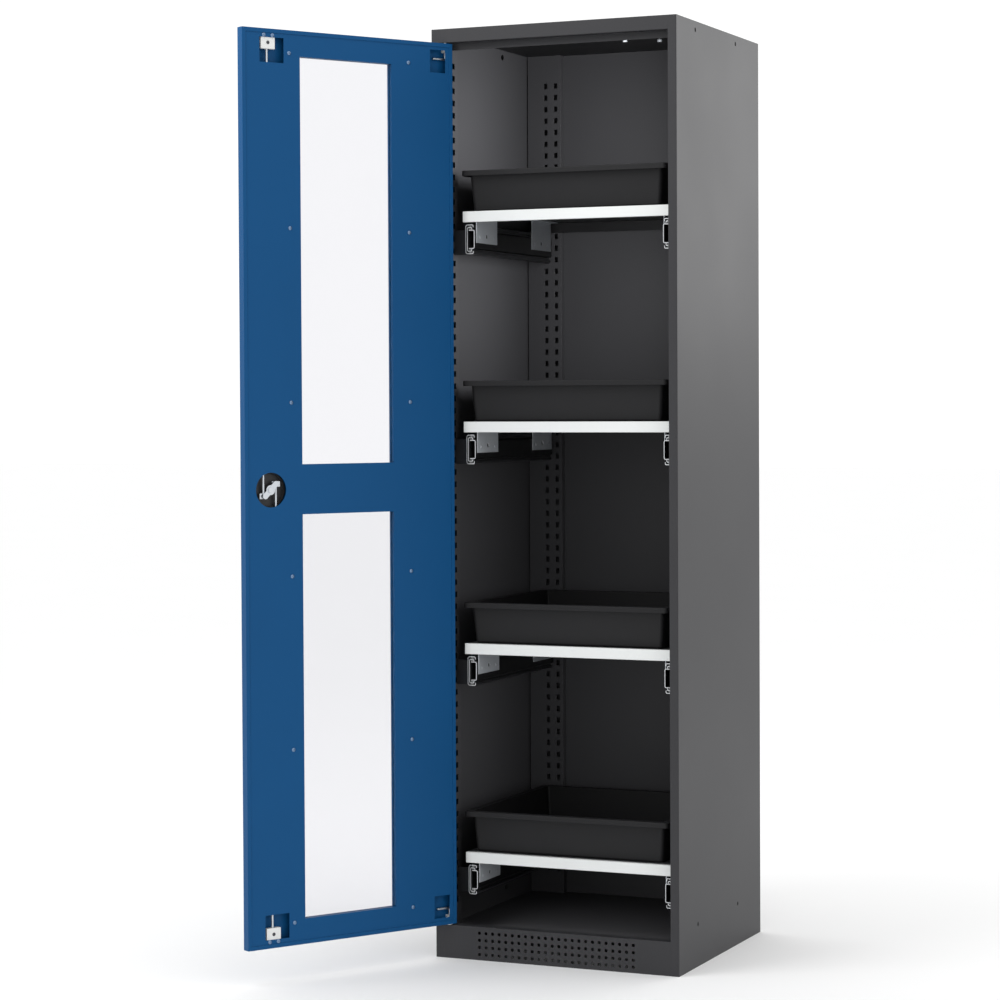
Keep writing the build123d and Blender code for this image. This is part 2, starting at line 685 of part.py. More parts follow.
def across(u0, u1, y0, y1, z0, z1):
    """A box whose sides are measured outwards from the middle of the shelf, on the left."""
    return block(SHELF_OFFSET - u0, SHELF_OFFSET - u1, y0, y1, z0, z1)


def channel(u_web, u_mouth, half, lip, z):
    """A slide member: a web on edge, two flanges, and a lip on each flange if it has one."""
    y0 = SLIDE_FRONT_Y
    y1 = SLIDE_BACK_Y
    inward = SLIDE_SHEET if u_mouth > u_web else -SLIDE_SHEET
    member = across(u_web, u_web + inward, y0, y1, z - half, z + half)
    for up in (-1, 1):
        member += across(u_web, u_mouth, y0, y1, z + up * half, z + up * (half - SLIDE_SHEET))
        if lip:
            lip_end = z + up * (half - SLIDE_SHEET - lip)
            member += across(u_mouth - inward, u_mouth, y0, y1, z + up * half, lip_end)
    return member


def slide_middle_z(shelf_top):
    return shelf_top - SHELF_EDGE - SLIDE_DROP - SLIDE_HEIGHT / 2


def slide_outer(shelf_top):
    """The fixed members of a pair of slides."""
    mouth = SLIDE_INSIDE + SLIDE_SHEET
    return both_sides(channel(SLIDE_OUTSIDE, mouth, SLIDE_HEIGHT / 2, OUTER_LIP, slide_middle_z(shelf_top)))


def middle_half():
    return SLIDE_HEIGHT / 2 - SLIDE_SHEET - SLIDE_CLEARANCE


def slide_middle(shelf_top):
    """The members between, which travel half as far as the shelf."""
    web = SLIDE_OUTSIDE - SLIDE_SHEET - SLIDE_CLEARANCE
    mouth = SLIDE_INSIDE + 2 * SLIDE_SHEET + LIP_STEP
    return both_sides(channel(web, mouth, middle_half(), MIDDLE_LIP, slide_middle_z(shelf_top)))


def slide_inner(shelf_top):
    """The members that carry the shelf."""
    half = middle_half() - SLIDE_SHEET - MIDDLE_LIP - SLIDE_CLEARANCE
    tip = SLIDE_OUTSIDE - 2 * (SLIDE_SHEET + SLIDE_CLEARANCE)
    return both_sides(channel(SLIDE_INSIDE, tip, half, 0, slide_middle_z(shelf_top)))


def slide_carriers(shelf_top):
    """Rails that hook into the posts and hold the fixed slide members."""
    z = slide_middle_z(shelf_top)
    half = SLIDE_HEIGHT / 2
    solids = []
    hook_y = SLOT_FRONT_Y + SLOT_LENGTH / 2
    for side in (-1, 1):
        inner = SHELF_OFFSET + side * SLIDE_OUTSIDE
        outer = inner + side * CARRIER_SHEET
        post = side * OPENING
        rail = block(inner, outer, hook_y, REAR_POST_FRONT, z - half, z + half)
        rail += block(inner, post, hook_y, hook_y + CARRIER_SHEET, z - half, z + half - CARRIER_HOOK_DROP)
        solids.append(rail)
    return group(solids)


def shelf_brackets(shelf_top):
    """Angles that join the slides to the shelf, two on each side."""
    under = shelf_top - SHELF_SHEET
    inner = SLIDE_INSIDE - SLIDE_SHEET
    hole_x = SHELF_OFFSET - SLIDE_INSIDE
    hole_z = slide_middle_z(shelf_top) + BRACKET_HOLE_RISE
    front_y = SLIDE_FRONT_Y + BRACKET_SETBACK
    rear_y = SLIDE_BACK_Y - BRACKET_SETBACK - BRACKET_LENGTH
    angles = []
    for y0 in (front_y, rear_y):
        y1 = y0 + BRACKET_LENGTH
        angle = across(SLIDE_INSIDE, inner, y0, y1, under - BRACKET_DROP - SHELF_EDGE, under)
        angle += across(SLIDE_INSIDE, inner - BRACKET_FLANGE, y0, y1, under - SLIDE_SHEET, under)
        hole_end = hole_x + SLIDE_SHEET + OVERCUT
        angle -= sideways(BRACKET_HOLE_RADIUS, (y0 + y1) / 2, hole_z, hole_x, hole_end)
        angles.append(both_sides(angle))
    return group(angles)


def shelf_front(shelf_top):
    """The pale folded front edge of a shelf."""
    half = SHELF_WIDTH / 2
    y1 = SHELF_FRONT_Y + SHELF_FRONT_DEPTH
    bottom = shelf_top - SHELF_EDGE
    edge = across(-half, half, SHELF_FRONT_Y, y1, bottom, shelf_top)
    corners = edge.edges().filter_by(Axis.X).group_by(Axis.Y)[0]
    edge = fillet(corners, min(SHELF_FRONT_RADIUS, SHELF_SHEET - SEAT_GAP))
    hollow_front = SHELF_FRONT_Y + SHELF_SHEET
    return edge - across(-half, half, hollow_front, y1, bottom + SHELF_SHEET, shelf_top - SHELF_SHEET)


def shelf_pan(shelf_top):
    """The sheet that the tray stands on, with its edges folded down."""
    half = SHELF_WIDTH / 2
    y0 = SHELF_FRONT_Y + SHELF_FRONT_DEPTH
    bottom = shelf_top - SHELF_EDGE
    pan = across(-half, half, y0, SHELF_BACK_Y, bottom, shelf_top)
    inner = half - SHELF_SHEET
    inner_back = SHELF_BACK_Y - SHELF_SHEET
    return pan - across(-inner, inner, y0 + SHELF_SHEET, inner_back, bottom, shelf_top - SHELF_SHEET)


def tray_section(grow, corner):
    """A rounded rectangle, larger than the foot of the tray all round by a margin."""
    width = SHELF_WIDTH + TRAY_OVERHANG - TRAY_RIGHT_MARGIN - 2 * (TRAY_RIM_WIDTH + TRAY_TAPER)
    depth = SHELF_DEPTH - 2 * (TRAY_END_MARGIN + TRAY_RIM_WIDTH + TRAY_TAPER)
    return RectangleRounded(width + 2 * grow, depth + 2 * grow, corner)


def spill_tray(shelf_top):
    """A plastic tray with sloping walls and a turned-down rim."""
    top = Plane.XY.offset(TRAY_HEIGHT)
    inner_corner = TRAY_CORNER - TRAY_WALL
    body = loft([tray_section(0, TRAY_CORNER), top * tray_section(TRAY_TAPER, TRAY_CORNER)])
    body = fillet(body.edges().group_by(Axis.Z)[0], TRAY_FLOOR_RADIUS)
    hollow_floor = Plane.XY.offset(TRAY_WALL) * tray_section(-TRAY_WALL, inner_corner)
    hollow = loft([hollow_floor, top * tray_section(TRAY_TAPER - TRAY_WALL, inner_corner)])
    rim_grow = TRAY_TAPER + TRAY_RIM_WIDTH
    skirt = Plane.XY.offset(TRAY_HEIGHT - TRAY_RIM_HEIGHT)
    rim = extrude(skirt * tray_section(rim_grow, TRAY_CORNER), TRAY_RIM_HEIGHT)
    rim = fillet(rim.edges().group_by(Axis.Z)[-1], min(TRAY_RIM_ROUND, TRAY_WALL - SEAT_GAP))
    rim -= extrude(skirt * tray_section(rim_grow - TRAY_WALL, inner_corner), TRAY_RIM_HEIGHT - TRAY_WALL)
    tray = body + rim - hollow
    x = SHELF_OFFSET - (TRAY_OVERHANG + TRAY_RIGHT_MARGIN) / 2
    return Pos(x, (SHELF_FRONT_Y + SHELF_BACK_Y) / 2, shelf_top) * tray


nodes = {
    "side_panel_left": side_panel(-1),
    "side_panel_right": side_panel(1),
    "back_panel": back_panel(),
    "roof_panel": roof_panel(),
    "floor_panel": floor_panel(),
    "header_rail": header_rail(),
    "plinth_panel": plinth_panel(),
    "front_post_left": front_post(-1),
    "front_post_right": front_post(1),
    "rear_post_left": rear_post(-1),
    "rear_post_right": rear_post(1),
    "roof_bolts": roof_bolts(),
}

door_pieces = {
    "door_skin": door_skin(),
    "door_inner_panel": door_inner_panel(),
    "door_screws": door_screws(),
    "window_pane_upper": window_pane(True),
    "window_pane_lower": window_pane(False),
    "handle_escutcheon": handle_escutcheon(),
    "door_handle": door_handle(),
    "lock_cylinder": lock_cylinder(),
    "lock_cam": lock_cam(),
    "lock_rod_upper": upper_rod(),
    "lock_rod_lower": lower_rod(),
    "rod_guides": rod_guides(),
    "hinge_pin_upper": upper_hinge_pin(),
    "hinge_pin_lower": shut_door_mirror(upper_hinge_pin()),
    "hinge_blocks": hinge_blocks(),
    "hinge_washer": hinge_washer(),
}
for name, piece in door_pieces.items():
    nodes[name] = swing_open(piece)

for number, slots_up in enumerate(SHELF_SLOTS, start=1):
    shelf_top = LOWEST_SHELF_Z + SLOT_PITCH * slots_up
    nodes[f"slide_carriers_{number}"] = slide_carriers(shelf_top)
    nodes[f"slide_outer_{number}"] = slide_outer(shelf_top)
    nodes[f"slide_middle_{number}"] = slide_middle(shelf_top)
    nodes[f"slide_inner_{number}"] = slide_inner(shelf_top)
    nodes[f"shelf_brackets_{number}"] = shelf_brackets(shelf_top)
    nodes[f"shelf_pan_{number}"] = shelf_pan(shelf_top)
    nodes[f"shelf_front_{number}"] = shelf_front(shelf_top)
    nodes[f"spill_tray_{number}"] = spill_tray(shelf_top)

os.makedirs("parts", exist_ok=True)
for name, shape in nodes.items():
    export_step(shape, f"parts/{name}.step")
print(len(nodes), "nodes, rod travel", round(ROD_TRAVEL, 2))
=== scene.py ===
"""Dress a tall chemical storage cabinet: finishes, small fittings, stage and camera."""

import json
import math

import bmesh
import bpy
from bpy.props import FloatProperty, FloatVectorProperty, PointerProperty
from mathutils import Matrix, Quaternion, Vector


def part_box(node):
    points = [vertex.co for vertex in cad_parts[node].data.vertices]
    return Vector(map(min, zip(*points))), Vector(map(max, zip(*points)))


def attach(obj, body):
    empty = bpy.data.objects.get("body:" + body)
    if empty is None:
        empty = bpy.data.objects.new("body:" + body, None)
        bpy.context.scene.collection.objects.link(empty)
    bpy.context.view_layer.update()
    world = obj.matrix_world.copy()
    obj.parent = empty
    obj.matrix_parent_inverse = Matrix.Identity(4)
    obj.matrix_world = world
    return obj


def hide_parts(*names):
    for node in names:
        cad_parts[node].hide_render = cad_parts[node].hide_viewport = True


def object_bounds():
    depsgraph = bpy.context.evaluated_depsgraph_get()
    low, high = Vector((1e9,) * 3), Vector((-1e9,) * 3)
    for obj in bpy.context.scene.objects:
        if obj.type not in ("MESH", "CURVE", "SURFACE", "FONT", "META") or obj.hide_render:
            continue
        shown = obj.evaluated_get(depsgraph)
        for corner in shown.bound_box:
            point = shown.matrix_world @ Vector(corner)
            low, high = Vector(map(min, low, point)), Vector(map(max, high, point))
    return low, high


bl_info = {
    "name": "Chemical storage cabinet",
    "version": (1, 0, 0),
    "blender": (4, 5, 0),
    "location": "View3D > Sidebar > Cabinet",
    "description": "Gives the cabinet its finishes and fittings, and sets the stage and camera",
    "category": "Object",
}

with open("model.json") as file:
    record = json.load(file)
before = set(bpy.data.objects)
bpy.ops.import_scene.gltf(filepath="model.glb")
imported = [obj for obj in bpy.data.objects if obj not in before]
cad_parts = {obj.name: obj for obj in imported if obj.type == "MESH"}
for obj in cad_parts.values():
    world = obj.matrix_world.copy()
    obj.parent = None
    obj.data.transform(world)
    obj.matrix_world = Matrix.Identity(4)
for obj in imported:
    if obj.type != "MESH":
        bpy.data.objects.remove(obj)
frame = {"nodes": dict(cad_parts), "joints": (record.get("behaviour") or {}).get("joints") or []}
CAD_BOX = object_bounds()
NODES = frame["nodes"]
JOINTS = {joint["name"]: joint for joint in frame["joints"]}
SHELF_NUMBERS = sorted(name.rsplit("_", 1)[1] for name in NODES if name.startswith("shelf_pan_"))
MM = 0.001

# The lock's middle, and the open door's own directions: out of its face and into the cabinet
LOCK = Vector(JOINTS["handle_turn"]["pos_m"])
DOOR_OUT = Vector(JOINTS["handle_turn"]["axis"]).normalized()
DOOR_IN = -DOOR_OUT

# How the marks on a metal are drawn out: not at all, along a slide, along a rod, along a hinge pin
EVEN = (1.0, 1.0, 1.0)
ALONG_SLIDE = (1.0, 0.03, 1.0)
ALONG_ROD = (1.0, 1.0, 0.03)
ALONG_PIN = (1.0, 1.0, 0.05)

# The mould grain of the small plastic pieces
FINE_GRAIN = 0.6 * MM

# Cross-sections of the slide rails in millimetres: across from the inner rail's face, and up
# from the middle. The balls of a rail run between it and the next rail inside.
OUTER_RAIL = {
    "corners": [
        (3.2, 25.0), (3.2, 30.25), (20.25, 30.25), (20.25, -30.25), (3.2, -30.25), (3.2, -25.0),
    ],
    "radii": [2.2, 4.5, 4.5, 2.2],
    "ball": (11.5, 27.575, 1.85),
}
MIDDLE_RAIL = {
    "corners": [
        (6.6, 20.6), (6.6, 24.9), (16.6, 24.9), (16.6, -24.9), (6.6, -24.9), (6.6, -20.6),
    ],
    "radii": [1.8, 3.0, 3.0, 1.8],
    "ball": (11.5, 22.0, 2.05),
}
INNER_RAIL = {
    "corners": [(13.2, 19.15), (0.75, 19.15), (0.75, -19.15), (13.2, -19.15)],
    "radii": [3.0, 3.0],
}


# Shader maths
class Wire:
    """A node's output that takes part in Python sums: each sum of values adds a Math node."""

    def __init__(self, finish, socket):
        self.finish = finish
        self.socket = socket

    def __add__(self, other):
        return self.finish.math("ADD", self, other)

    def __radd__(self, other):
        return self.finish.math("ADD", other, self)

    def __sub__(self, other):
        return self.finish.math("SUBTRACT", self, other)

    def __rsub__(self, other):
        return self.finish.math("SUBTRACT", other, self)

    def __mul__(self, other):
        return self.finish.math("MULTIPLY", self, other)

    def __rmul__(self, other):
        return self.finish.math("MULTIPLY", other, self)


class Finish:
    """A material whose nodes all come from one method."""

    def __init__(self, name):
        self.material = bpy.data.materials.new(name)
        self.material.use_nodes = True
        self.tree = self.material.node_tree
        self.tree.nodes.clear()
        self.place = self.add("ShaderNodeTexCoord", output="Object")

    def add(self, kind, settings=None, sockets=None, output=0):
        """Add a node: its settings first, then the values or links of its sockets."""
        node = self.tree.nodes.new(kind)
        for name, value in (settings or {}).items():
            setattr(node, name, value)
        for name, value in (sockets or {}).items():
            if isinstance(value, Wire):
                self.tree.links.new(value.socket, node.inputs[name])
            else:
                node.inputs[name].default_value = value
        return Wire(self, node.outputs[output]) if node.outputs else None

    def math(self, operation, first, second):
        """A sum of two values."""
        return self.add("ShaderNodeMath", {"operation": operation}, {0: first, 1: second})

    def remap(self, value, low, high):
        """A value carried from a range of its own to the range from 0 to 1."""
        sockets = {"Value": value, "From Min": low, "From Max": high}
        return self.add("ShaderNodeMapRange", None, sockets)

    def blend(self, low, high, share):
        """A colour between two colours."""
        ends = [end if isinstance(end, Wire) else (*end, 1.0) for end in (low, high)]
        sockets = {0: share, 6: ends[0], 7: ends[1]}
        return self.add("ShaderNodeMix", {"data_type": "RGBA"}, sockets, output=2)

    def noise(self, size, detail=2.0, stretch=EVEN):
        """Soft noise with features of that size in metres, drawn out where the stretch is small."""
        sockets = {0: self.place, 1: stretch}
        place = self.add("ShaderNodeVectorMath", {"operation": "MULTIPLY"}, sockets)
        sockets = {"Vector": place, "Scale": 1 / size, "Detail": detail}
        return self.add("ShaderNodeTexNoise", None, sockets)

    def cells(self, size):
        """The distance from the middle of cells of that size in metres."""
        return self.add("ShaderNodeTexVoronoi", None, {"Vector": self.place, "Scale": 1 / size})

    def rounded(self, radius):
        """The surface normal with its edges rounded to a radius in metres."""
        return self.add("ShaderNodeBevel", {"samples": 4}, {"Radius": radius})

    def edges(self, rounded):
        """How near a rounded edge is, from 0 on the flat to 1 at the edge."""
        flat = self.add("ShaderNodeNewGeometry", output="True Normal")
        settings = {"operation": "DOT_PRODUCT"}
        match = self.add("ShaderNodeVectorMath", settings, {0: rounded, 1: flat}, output="Value")
        return self.remap(match, 1.0, 0.8)

    def lit_end_faces(self):
        """1 on the faces that look along y, the rail's ends, 0 on its long faces: the mask of a
        painted highlight on the lit ends.
        """
        normal = self.add("ShaderNodeTexCoord", output="Normal")
        along = self.add("ShaderNodeSeparateXYZ", None, {"Vector": normal}, output="Y")
        return self.remap(along * along, 0.6, 0.9)

    def bump(self, height, depth, rounded):
        """A surface normal for a height map whose relief is so many metres deep."""
        sockets = {"Height": height, "Distance": depth, "Normal": rounded}
        return self.add("ShaderNodeBump", None, sockets)

    def surface(self, sockets):
        """Close the material with its surface shader."""
        shader = self.add("ShaderNodeBsdfPrincipled", None, sockets)
        self.add("ShaderNodeOutputMaterial", None, {"Surface": shader})
        return self.material


def scaled(colour, factor):
    """A colour made darker or lighter."""
    return tuple(min(1.0, channel * factor) for channel in colour)


# Finishes
def powder_coat(name, colour, roughness, gloss, peel):
    """Baked powder paint: orange peel, faint clouds, and edges rounded and brightened, partly as
    rubbed wear and partly as a painted highlight.
    """
    cloud_size = 0.3
    edge_wear_and_highlight_size = 0.02
    fold = 1.0 * MM
    relief = 0.06 * MM
    finish = Finish(name)
    clouds = finish.noise(cloud_size, 3.0)
    grain = finish.noise(peel / 4, 1.0)
    skin = finish.noise(peel)
    rounded = finish.rounded(fold)
    # Edges are lightened in patches: partly rubbed wear, partly a painted highlight where edges catch
    # the light.
    rubbed_edge_highlight = finish.edges(rounded) * finish.remap(finish.noise(edge_wear_and_highlight_size, 4.0), 0.4, 0.65)
    shade = clouds * 0.55 + grain * 0.25 + rubbed_edge_highlight * 0.6
    return finish.surface({
        "Base Color": finish.blend(scaled(colour, 0.9), scaled(colour, 1.15), shade),
        "Roughness": roughness - 0.07 + clouds * 0.08 + grain * 0.06 - rubbed_edge_highlight * 0.08,
        "Specular IOR Level": gloss,
        "Normal": finish.bump(skin, relief, rounded),
    })


def zinc_plate(name, colour, roughness, stretch, metallic=1.0, lit_ends_colour=None):
    """Zinc plate: drawing marks, and soft patches where it was passivated. End faces may take a
    lighter colour, a painted highlight.
    """
    patch_size = 0.02
    mark_size = 1.2 * MM
    pit_size = 2.5 * MM
    edge = 0.4 * MM
    relief = 0.03 * MM
    finish = Finish(name)
    patches = finish.noise(patch_size, 4.0)
    marks = finish.noise(mark_size, 3.0, stretch)
    pits = finish.cells(pit_size)
    tint = (colour[0] * 0.8, colour[1] * 0.84, colour[2] * 0.9)
    shade = finish.blend(tint, colour, patches * 0.6 + marks * 0.4)
    # The end faces looking along y take the lighter colour: painted light on the lit ends, against
    # long faces left darker.
    if lit_ends_colour:
        shade = finish.blend(shade, lit_ends_colour, finish.lit_end_faces())
    return finish.surface({
        "Base Color": shade,
        "Metallic": metallic,
        "Roughness": roughness - 0.12 + patches * 0.12 + marks * 0.12,
        "Normal": finish.bump(marks * 0.7 + pits * 0.3, relief, finish.rounded(edge)),
    })


def moulded_plastic(name, colour, roughness, gloss, grain):
    """Moulded plastic: the fine spark grain of the mould, with duller and shinier patches."""
    patch_size = 0.08
    edge = 0.8 * MM
    relief = 0.05 * MM
    finish = Finish(name)
    patches = finish.noise(patch_size, 3.0)
    spark = finish.noise(grain, 1.0)
    pits = finish.cells(grain * 1.6)
    shade = patches * 0.6 + spark * 0.4
    return finish.surface({
        "Base Color": finish.blend(scaled(colour, 0.85), scaled(colour, 1.2), shade),
        "Roughness": roughness - 0.08 + patches * 0.1 + spark * 0.08,
        "Specular IOR Level": gloss,
        "Normal": finish.bump(spark * 0.6 + pits * 0.4, relief, finish.rounded(edge)),
    })


def clear_pane(name, tint, roughness):
    """A clear pane with a breath of haze."""
    haze_size = 0.12
    finish = Finish(name)
    haze = finish.noise(haze_size, 4.0)
    return finish.surface({
        "Base Color": finish.blend(scaled(tint, 0.985), tint, haze),
        "Roughness": roughness + haze * 0.02,
        "IOR": 1.49,
        "Transmission Weight": 1.0,
    })


def studio_floor(name, colour):
    """A matt pale floor with a trace of mottling."""
    mottle_size = 0.6
    finish = Finish(name)
    mottle = finish.noise(mottle_size, 3.0)
    return finish.surface({
        "Base Color": finish.blend(scaled(colour, 0.985), colour, mottle),
        "Roughness": 0.85,
        "Specular IOR Level": 0.2,
    })


# Shapes
def paint(nodes, material):
    """Give solids of the frame their finish."""
    for node in nodes:
        materials = NODES[node].data.materials
        materials.clear()
        materials.append(material)


def new_piece(name, mesh_maker, material, body):
    """Link a new piece made by a bmesh function, and let it ride on a body."""
    mesh = bpy.data.meshes.new(name)
    shape = bmesh.new()
    mesh_maker(shape)
    bmesh.ops.recalc_face_normals(shape, faces=shape.faces)
    shape.to_mesh(mesh)
    shape.free()
    mesh.materials.append(material)
    piece = bpy.data.objects.new(name, mesh)
    bpy.context.scene.collection.objects.link(piece)
    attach(piece, body)
    return piece


def solids_of(node):
    """The lowest and highest corner of each separate solid of a node."""
    shape = bmesh.new()
    shape.from_mesh(NODES[node].data)
    bmesh.ops.remove_doubles(shape, verts=shape.verts, dist=0.01 * MM)
    left = set(shape.verts)
    boxes = []
    while left:
        found = [left.pop()]
        for vert in found:
            near = {edge.other_vert(vert) for edge in vert.link_edges} & left
            left -= near
            found.extend(near)
        low = Vector(min(vert.co[axis] for vert in found) for axis in range(3))
        high = Vector(max(vert.co[axis] for vert in found) for axis in range(3))
        boxes.append((low, high))
    shape.free()
    return sorted(boxes, key=lambda box: tuple(box[0]))


def reach(node, direction):
    """How far a node reaches along a direction."""
    return max(vert.co.dot(direction) for vert in NODES[node].data.vertices)


def moved_to(place, direction, level):
    """A place moved along a direction until it lies at a level there."""
    return place + direction * (level - place.dot(direction))


def facing(place, direction):
    """The matrix that stands a shape made about z on a place, facing a direction."""
    turn = direction.to_track_quat("Z", "Y").to_matrix().to_4x4()
    return Matrix.Translation(place) @ turn


def revolve(shape, profile, segments, matrix, dent=None):
    """Turn a profile of radius and height about z. A dent says how far each point is lowered."""
    rings = []
    for radius, height in profile:
        ring = []
        for step in range(segments):
            angle = math.tau * step / segments
            x = radius * math.cos(angle)
            y = radius * math.sin(angle)
            drop = dent(x, y) if dent else 0.0
            ring.append(shape.verts.new(matrix @ Vector((x, y, height - drop))))
        rings.append(ring)
    for lower, upper in zip(rings, rings[1:]):
        band(shape, lower, upper, smooth=True)
    return rings


def band(shape, lower, upper, smooth):
    """A band of faces between two rings."""
    count = len(lower)
    for step in range(count):
        after = (step + 1) % count
        face = shape.faces.new((lower[step], lower[after], upper[after], upper[step]))
        face.smooth = smooth


def cap(shape, rings):
    """Close both ends of a turned shape."""
    for ring in (rings[0], rings[-1]):
        shape.faces.new(ring)


def flatten(shape):
    """Give each face of a shape its own flat shading."""
    for face in shape.faces:
        face.smooth = False


def cross_recess(radius, depth):
    """The cross-shaped hollow in the head of a screw of that radius."""
    half_width = 0.15 * radius
    half_length = 0.575 * radius

    def dent(x, y):
        near, far = sorted((abs(x), abs(y)))
        return depth if far < half_length and near < half_width else 0.0

    return dent


def domed_head(shape, place, direction, radius, height, recess=None):
    """A domed head that stands on a place."""
    segments = 40
    steps = 14
    brim = 0.45
    profile = [(radius, 0.0)]
    for step in range(steps):
        share = step / steps
        rise = brim + (1 - brim) * math.sin(share * math.pi / 2)
        profile.append((radius * (1 - share), height * rise))
    cap(shape, revolve(shape, profile, segments, facing(place, direction), recess))


def rounded_path(corners, radii):
    """A path of straight runs whose square corners are rounded to the given radii."""
    steps = 6
    points = [Vector(corners[0])]
    for before, corner, after, radius in zip(corners, corners[1:], corners[2:], radii):
        corner = Vector(corner)
        back = (Vector(before) - corner).normalized() * radius
        ahead = (Vector(after) - corner).normalized() * radius
        for step in range(steps + 1):
            angle = math.pi / 2 * step / steps
            inward = back * (1 - math.sin(angle)) + ahead * (1 - math.cos(angle))
            points.append(corner + inward)
    points.append(Vector(corners[-1]))
    return points


def bent_sheet(shape, line, sheet, y0, y1, place):
    """A strip of sheet that follows a line across and runs from one y to another."""
    count = len(line)
    sides = ([], [])
    for step, point in enumerate(line):
        along = line[min(step + 1, count - 1)] - line[max(step - 1, 0)]
        aside = Vector((-along.y, along.x)).normalized() * sheet / 2
        for side, offset in zip(sides, (aside, -aside)):
            spot = point + offset
            side.append([shape.verts.new(place(spot.x, y, spot.y)) for y in (y0, y1)])
    left, right = sides
    for step in range(count - 1):
        after = step + 1
        shape.faces.new((left[step][0], left[after][0], left[after][1], left[step][1]))
        shape.faces.new((right[step][0], right[step][1], right[after][1], right[after][0]))
        for end in (0, 1):
            shape.faces.new((left[step][end], right[step][end], right[after][end], left[after][end]))
    for step in (0, count - 1):
        shape.faces.new((left[step][0], left[step][1], right[step][1], right[step][0]))


def ball(shape, place, radius):
    """A bearing ball."""
    spot = Matrix.Translation(place)
    made = bmesh.ops.create_icosphere(shape, subdivisions=2, radius=radius, matrix=spot)
    for face in {face for vert in made["verts"] for face in vert.link_faces}:
        face.smooth = True


# Settings
class CarcassSettings(bpy.types.PropertyGroup):
    """The painted steel of the body."""

    colour: FloatVectorProperty(
        name="Carcass paint",
        description="Colour of the body",
        subtype="COLOR",
        default=(0.039, 0.039, 0.042),
    )
    roughness: FloatProperty(
        name="Roughness", description="Roughness of the paint", subtype="FACTOR", default=0.42
    )
    peel: FloatProperty(
        name="Orange peel",
        description="Size of the paint's ripples",
        subtype="DISTANCE",
        default=0.0016,
    )
    plug_colour: FloatVectorProperty(
        name="Plugs",
        description="Colour of the plugs in the sides",
        subtype="COLOR",
        default=(0.012, 0.012, 0.013),
    )


class DoorSettings(bpy.types.PropertyGroup):
    """The door, its panes and its lock."""

    colour: FloatVectorProperty(
        name="Door paint",
        description="Colour of the door",
        subtype="COLOR",
        default=(0.0045, 0.071, 0.202),
    )
    roughness: FloatProperty(
        name="Roughness", description="Roughness of the paint", subtype="FACTOR", default=0.4
    )
    pane_tint: FloatVectorProperty(
        name="Pane",
        description="Tint of the panes",
        subtype="COLOR",
        default=(0.85, 0.85, 0.875),
    )
    handle_colour: FloatVectorProperty(
        name="Handle",
        description="Colour of the handle",
        subtype="COLOR",
        default=(0.022, 0.022, 0.024),
    )
    guide_colour: FloatVectorProperty(
        name="Guides",
        description="Colour of the rod guides",
        subtype="COLOR",
        default=(0.74, 0.75, 0.74),
    )
    case_radius: FloatProperty(
        name="Lock case",
        description="Radius of the lock's case",
        subtype="DISTANCE",
        default=0.038,
    )


class MetalSettings(bpy.types.PropertyGroup):
    """The plated and blackened steel."""

    zinc: FloatVectorProperty(
        name="Zinc",
        description="Colour of the zinc plate",
        subtype="COLOR",
        default=(0.7, 0.72, 0.74),
    )
    screw: FloatVectorProperty(
        name="Screws",
        description="Colour of the door's blued screws",
        subtype="COLOR",
        default=(0.22, 0.32, 0.47),
    )
    zinc_roughness: FloatProperty(
        name="Zinc roughness", description="Roughness of the zinc", subtype="FACTOR", default=0.34
    )
    black: FloatVectorProperty(
        name="Black steel",
        description="Colour of the black slides",
        subtype="COLOR",
        default=(0.02, 0.02, 0.021),
    )
    dull: FloatVectorProperty(
        name="Dull zinc",
        description="Colour of the blackened zinc",
        subtype="COLOR",
        default=(0.1, 0.1, 0.105),
    )
    rivet_radius: FloatProperty(
        name="Rivet",
        description="Radius of the bracket rivets",
        subtype="DISTANCE",
        default=0.0032,
    )


class ShelfSettings(bpy.types.PropertyGroup):
    """The shelves and their trays."""

    front_colour: FloatVectorProperty(
        name="Front edge",
        description="Colour of the front edge",
        subtype="COLOR",
        default=(0.78, 0.80, 0.79),
    )
    pan_colour: FloatVectorProperty(
        name="Shelf",
        description="Colour of the shelf sheet",
        subtype="COLOR",
        default=(0.05, 0.05, 0.053),
    )
    peel: FloatProperty(
        name="Orange peel",
        description="Size of the paint's ripples",
        subtype="DISTANCE",
        default=0.0014,
    )
    tray_colour: FloatVectorProperty(
        name="Tray",
        description="Colour of the tray",
        subtype="COLOR",
        default=(0.015, 0.015, 0.016),
    )
    tray_grain: FloatProperty(
        name="Tray grain",
        description="Size of the tray's mould grain",
        subtype="DISTANCE",
        default=0.0009,
    )


